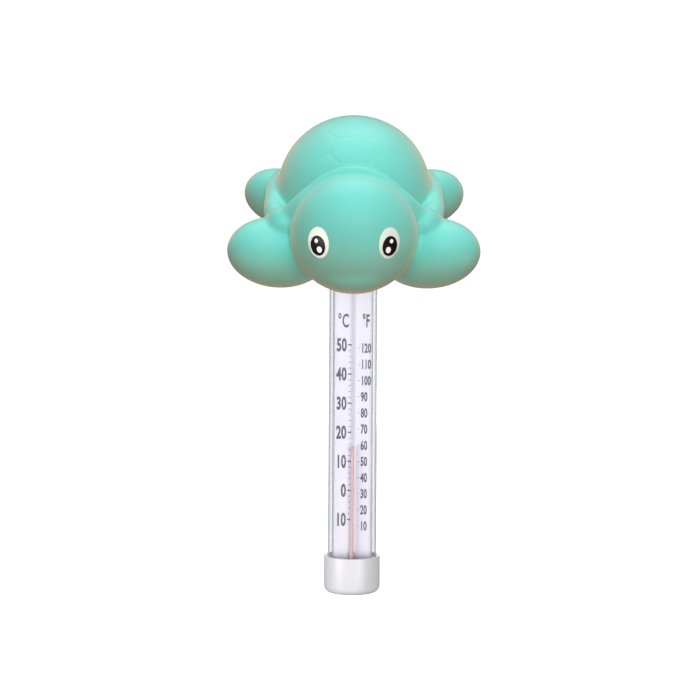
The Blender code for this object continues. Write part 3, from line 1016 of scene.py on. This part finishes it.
def printed(words, x, height, figure_width, figure_height, bold, align):
    """One word of print, its middle at that height."""
    sample = figure_size(bold)
    deselect()
    bpy.ops.object.text_add()
    text = bpy.context.object
    text.data.body = words
    text.data.offset = bold
    text.data.align_x = align
    text.data.space_character = 1.06
    text.data.resolution_u = 6
    choose(text)
    bpy.ops.object.convert(target="MESH")
    text.scale = (figure_width * MM / sample.x, figure_height * MM / sample.y, 1)
    place_in_mesh(text)
    spread = [v.co.y for v in text.data.vertices]
    middle = (max(spread) + min(spread)) / 2
    for vertex in text.data.vertices:
        vertex.co.y -= middle
    text.rotation_euler.x = math.radians(90)
    text.location = (x * MM, (INK_Y + INK_THICK) * MM, (BASE + height) * MM)
    place_in_mesh(text)
    return text


def print_run(name, words, finish):
    run = joined(name, words)
    bpy.ops.object.mode_set(mode="EDIT")
    bpy.ops.mesh.select_all(action="SELECT")
    bpy.ops.mesh.dissolve_limited(angle_limit=0.002)
    bpy.ops.object.mode_set(mode="OBJECT")
    apply_modifier(run, "SOLIDIFY", thickness=INK_THICK * MM, offset=1)
    finished(run, finish, "tube", "scale_print")


CELSIUS = [(str(abs(c)), c) for c in range(-10, 51, 10)]
FAHRENHEIT = [(str(f), f) for f in range(10, 121, 10)]
UNITS_AT = 110.0
print_run(
    "celsius_numbers",
    [printed(word, -2.6, celsius_height(c), 2.0, 5.5, 0.036, "RIGHT") for word, c in CELSIUS],
    dark_ink,
)
print_run(
    "fahrenheit_numbers",
    [printed(word, 3.2, fahrenheit_height(f), 1.3, 3.9, 0.036, "LEFT") for word, f in FAHRENHEIT],
    dark_ink,
)
print_run(
    "unit_letters",
    [
        printed("\u00b0C", -3.9, UNITS_AT, 1.9, 5.6, 0.02, "CENTER"),
        printed("\u00b0F", 5.1, UNITS_AT, 1.6, 5.4, 0.03, "CENTER"),
    ],
    dark_ink,
)

# %% [markdown]
# ## The thermometer
# A glass stem with a fine bore ends in a bulb of spirit. The bulb's wall is thin and its shoulder is
# drawn in to the stem in one curve. The thread of spirit fills the bore up to the reading.

# %% Glass stem and bulb
stem_low, stem_high = heights("glass_stem")
BULB_TOP = heights("bulb_spirit")[1] + 0.2
STEM_R = 1.1
STEM_BORE_R = 0.62
BULB_R = span("glass_stem", 0)[1] - STEM_X
BULB_CAVITY_R = BULB_R - 0.45
BULB_EDGE_R = 1.1
stem = turned(
    "glass_thermometer",
    [
        (0.12, stem_low + 1.0),
        (BULB_CAVITY_R - 0.15, stem_low + 1.4),
        (BULB_CAVITY_R, stem_low + 2.2),
        (BULB_CAVITY_R, BULB_TOP - 1.4),
        (STEM_BORE_R, BULB_TOP),
        (STEM_BORE_R, stem_high - 0.1),
        (STEM_BORE_R + 0.1, stem_high),
        (STEM_R - 0.15, stem_high),
        (STEM_R, stem_high - 0.4),
        (STEM_R, BULB_TOP + 1.8),
        (STEM_R + 0.12, BULB_TOP + 1.0),
        (BULB_R - 0.1, BULB_TOP + 0.1),
        (BULB_R, BULB_TOP - 0.7),
        (BULB_R, stem_low + 1.2),
        *arc(BULB_R - BULB_EDGE_R, stem_low + BULB_EDGE_R, BULB_EDGE_R, 0, -80, 6),
    ],
    x=STEM_X,
    y=STEM_Y,
    steps=48,
    edge=0,
)
finished(stem, clear_glass, "tube", "glass", "glass_stem", angle=60)
stem.visible_shadow = False

# %% [markdown]
# Only the spirit's own surfaces are made: the pool in the bulb, the thread in the bore, and the round
# end that stands at the reading. A real thread gets longer or shorter as the water warms or cools; here
# the thread belongs to no body, and only the round end rides on the moving level. The round glass in
# front of a real thread makes it look wider than it is, so the bore is drawn that wide.

# %% Spirit
pool_low, pool_high = heights("bulb_spirit")
pool_r = span("bulb_spirit", 0)[1] - STEM_X
pool = turned(
    "bulb_pool",
    [
        (0.15, pool_low),
        (pool_r * 0.75, pool_low + 0.12),
        (pool_r, pool_low + 0.7),
        (pool_r, pool_high - 1.4),
        (pool_r * 0.55, pool_high - 0.6),
        (0.3, pool_high),
    ],
    x=STEM_X,
    y=STEM_Y,
    steps=48,
    edge=0,
)
finished(pool, red_spirit, "tube", "spirit", "bulb_spirit", angle=60)

THREAD_R = STEM_BORE_R - 0.06
thread_low, thread_high = heights("spirit_column")
end_low, end_high = heights("spirit_level")
thread = turned(
    "spirit_thread",
    [(THREAD_R - 0.05, thread_low), (THREAD_R, thread_low + 0.05), (THREAD_R, thread_high)],
    x=STEM_X,
    y=STEM_Y,
    steps=32,
    edge=0,
)
finished(thread, red_spirit, "", "spirit", "spirit_column")
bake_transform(thread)
thread_end = turned(
    "spirit_end",
    [
        (THREAD_R, end_low - 0.1),
        (THREAD_R, end_high - 0.4),
        *arc(0, end_high - THREAD_R, THREAD_R, 20, 80, 4),
    ],
    x=STEM_X,
    y=STEM_Y,
    steps=32,
    edge=0,
)
finished(thread_end, red_spirit, "level", "spirit", "spirit_level", angle=60)

# %% [markdown]
# ## Studio
# A round sheet of white paper, 14 m in radius, lies half a metre below the water. It only shows to the
# camera, so it neither lights the float nor takes a shadow. Seen from above, the background is one plain
# white. Seen level, the paper ends at a line, and the grey of the surroundings shows above it.

# %% Floor
pale_floor, shader = new_finish("studio_paper", "f4f5f6", 0.9)
shader.inputs["Emission Color"].default_value = linear("ffffff")
shader.inputs["Emission Strength"].default_value = 1.0
deselect()
bpy.ops.mesh.primitive_circle_add(vertices=128, radius=14, fill_type="NGON", location=(0, 0, -0.5))
floor = bpy.context.object
floor.name = "studio_floor"
bpy.ops.object.mode_set(mode="EDIT")
bpy.ops.mesh.select_all(action="SELECT")
bpy.ops.mesh.extrude_region_move(TRANSFORM_OT_translate={"value": (0, 0, -0.01)})
bpy.ops.object.mode_set(mode="OBJECT")
place_in_mesh(floor)
floor.data.materials.append(pale_floor)
floor.visible_diffuse = False
floor.visible_glossy = False
floor.visible_shadow = False
floor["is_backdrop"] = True
print("floor half a metre below the water, radius", round(floor.dimensions.x / 2, 1), "m")


# %% [markdown]
# Broad soft lights stand above, in front and behind, close to white. A wooden table would throw a warm
# bounce up at the float, so three weak orange lights from below and the sides do that, on the casting
# alone. The tube and its scale have lights of their own, so that the float's shadow doesn't dull them.

# %% Lights
def soft_light(name, place, size, power, colour):
    """A square soft light that looks at the middle of the turtle."""
    lamp = bpy.data.lights.new(name, "AREA")
    lamp.shape = "SQUARE"
    lamp.size = size
    lamp.energy = power
    lamp.color = linear(colour)[:3]
    made = bpy.data.objects.new(name, lamp)
    bpy.context.scene.collection.objects.link(made)
    made.location = place
    made.rotation_euler = (Vector((0, 0, 0)) - Vector(place)).to_track_quat("-Z", "Y").to_euler()
    made.visible_camera = False
    return made


def light_only(lamp, name, pieces):
    """The lamp lights these pieces and no others."""
    group = bpy.data.collections.new(name)
    for piece in pieces:
        group.objects.link(piece)
    lamp.light_linking.receiver_collection = group


key_light = soft_light("key_light", (0.15, -1.3, 1.55), 1.5, 28, "f8fcff")
soft_light("front_fill", (0.25, -2.2, -0.3), 1.4, 7, "f6fff8")
soft_light("top_light", (0.0, 0.8, 1.75), 1.6, 23, "ffffff")
casting = [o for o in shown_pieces() if o.name == "turtle_skin"]
eyes = [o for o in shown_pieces() if o.name.startswith("eye_")]
the_rest = [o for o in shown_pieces() if o not in casting]
light_only(key_light, "lit_from_above", casting + eyes)
for name, place, power in [
    ("table_bounce", (0, -0.35, -0.75), 2.0),
    ("bounce_left", (-1.0, -0.5, -0.5), 6.5),
    ("bounce_right", (1.0, -0.5, -0.5), 6.5),
]:
    light_only(soft_light(name, place, 1.0, power, "ff7a50"), f"lit_by_{name}", casting)
for name, place, power in [
    ("scale_left", (-1.6, -1.2, 0.1), 26),
    ("scale_right", (1.1, -1.7, 0.0), 20),
    ("scale_behind", (0.3, 2.0, 0.1), 8),
]:
    light_only(soft_light(name, place, 1.0, power, "fffaff"), f"lit_by_{name}", the_rest)

world = bpy.data.worlds.new("studio")
bpy.context.scene.world = world
world.use_nodes = True
world.node_tree.nodes["Background"].inputs["Color"].default_value = linear("eef4fb")
world.node_tree.nodes["Background"].inputs["Strength"].default_value = 0.2
bpy.context.scene.view_settings.view_transform = "Standard"
print("lights:", [lamp.name for lamp in bpy.data.lights])

# %% [markdown]
# The camera is a long lens from over two metres away, eight degrees above the level and straight in
# front of the turtle, with a very slight roll. From there the tube's sides look parallel.

# %% Camera
CAMERA_RISE = math.radians(8)
CAMERA_ROLL = math.radians(0.35)
CAMERA_DISTANCE = 2.333
AIM = Vector((-0.00126, 0, -0.04195))

deselect()
bpy.ops.object.camera_add()
camera = bpy.context.object
camera.data.lens = 300
camera.data.sensor_width = 36
camera.data.clip_end = 50
back = Vector((0, -math.cos(CAMERA_RISE), math.sin(CAMERA_RISE)))
camera.location = AIM + back * CAMERA_DISTANCE
look = (-back).to_track_quat("-Z", "Y").to_matrix()
camera.rotation_euler = (look @ Matrix.Rotation(CAMERA_ROLL, 3, "Z")).to_euler()
bpy.context.scene.camera = camera
print("camera at", [round(v, 3) for v in camera.location])
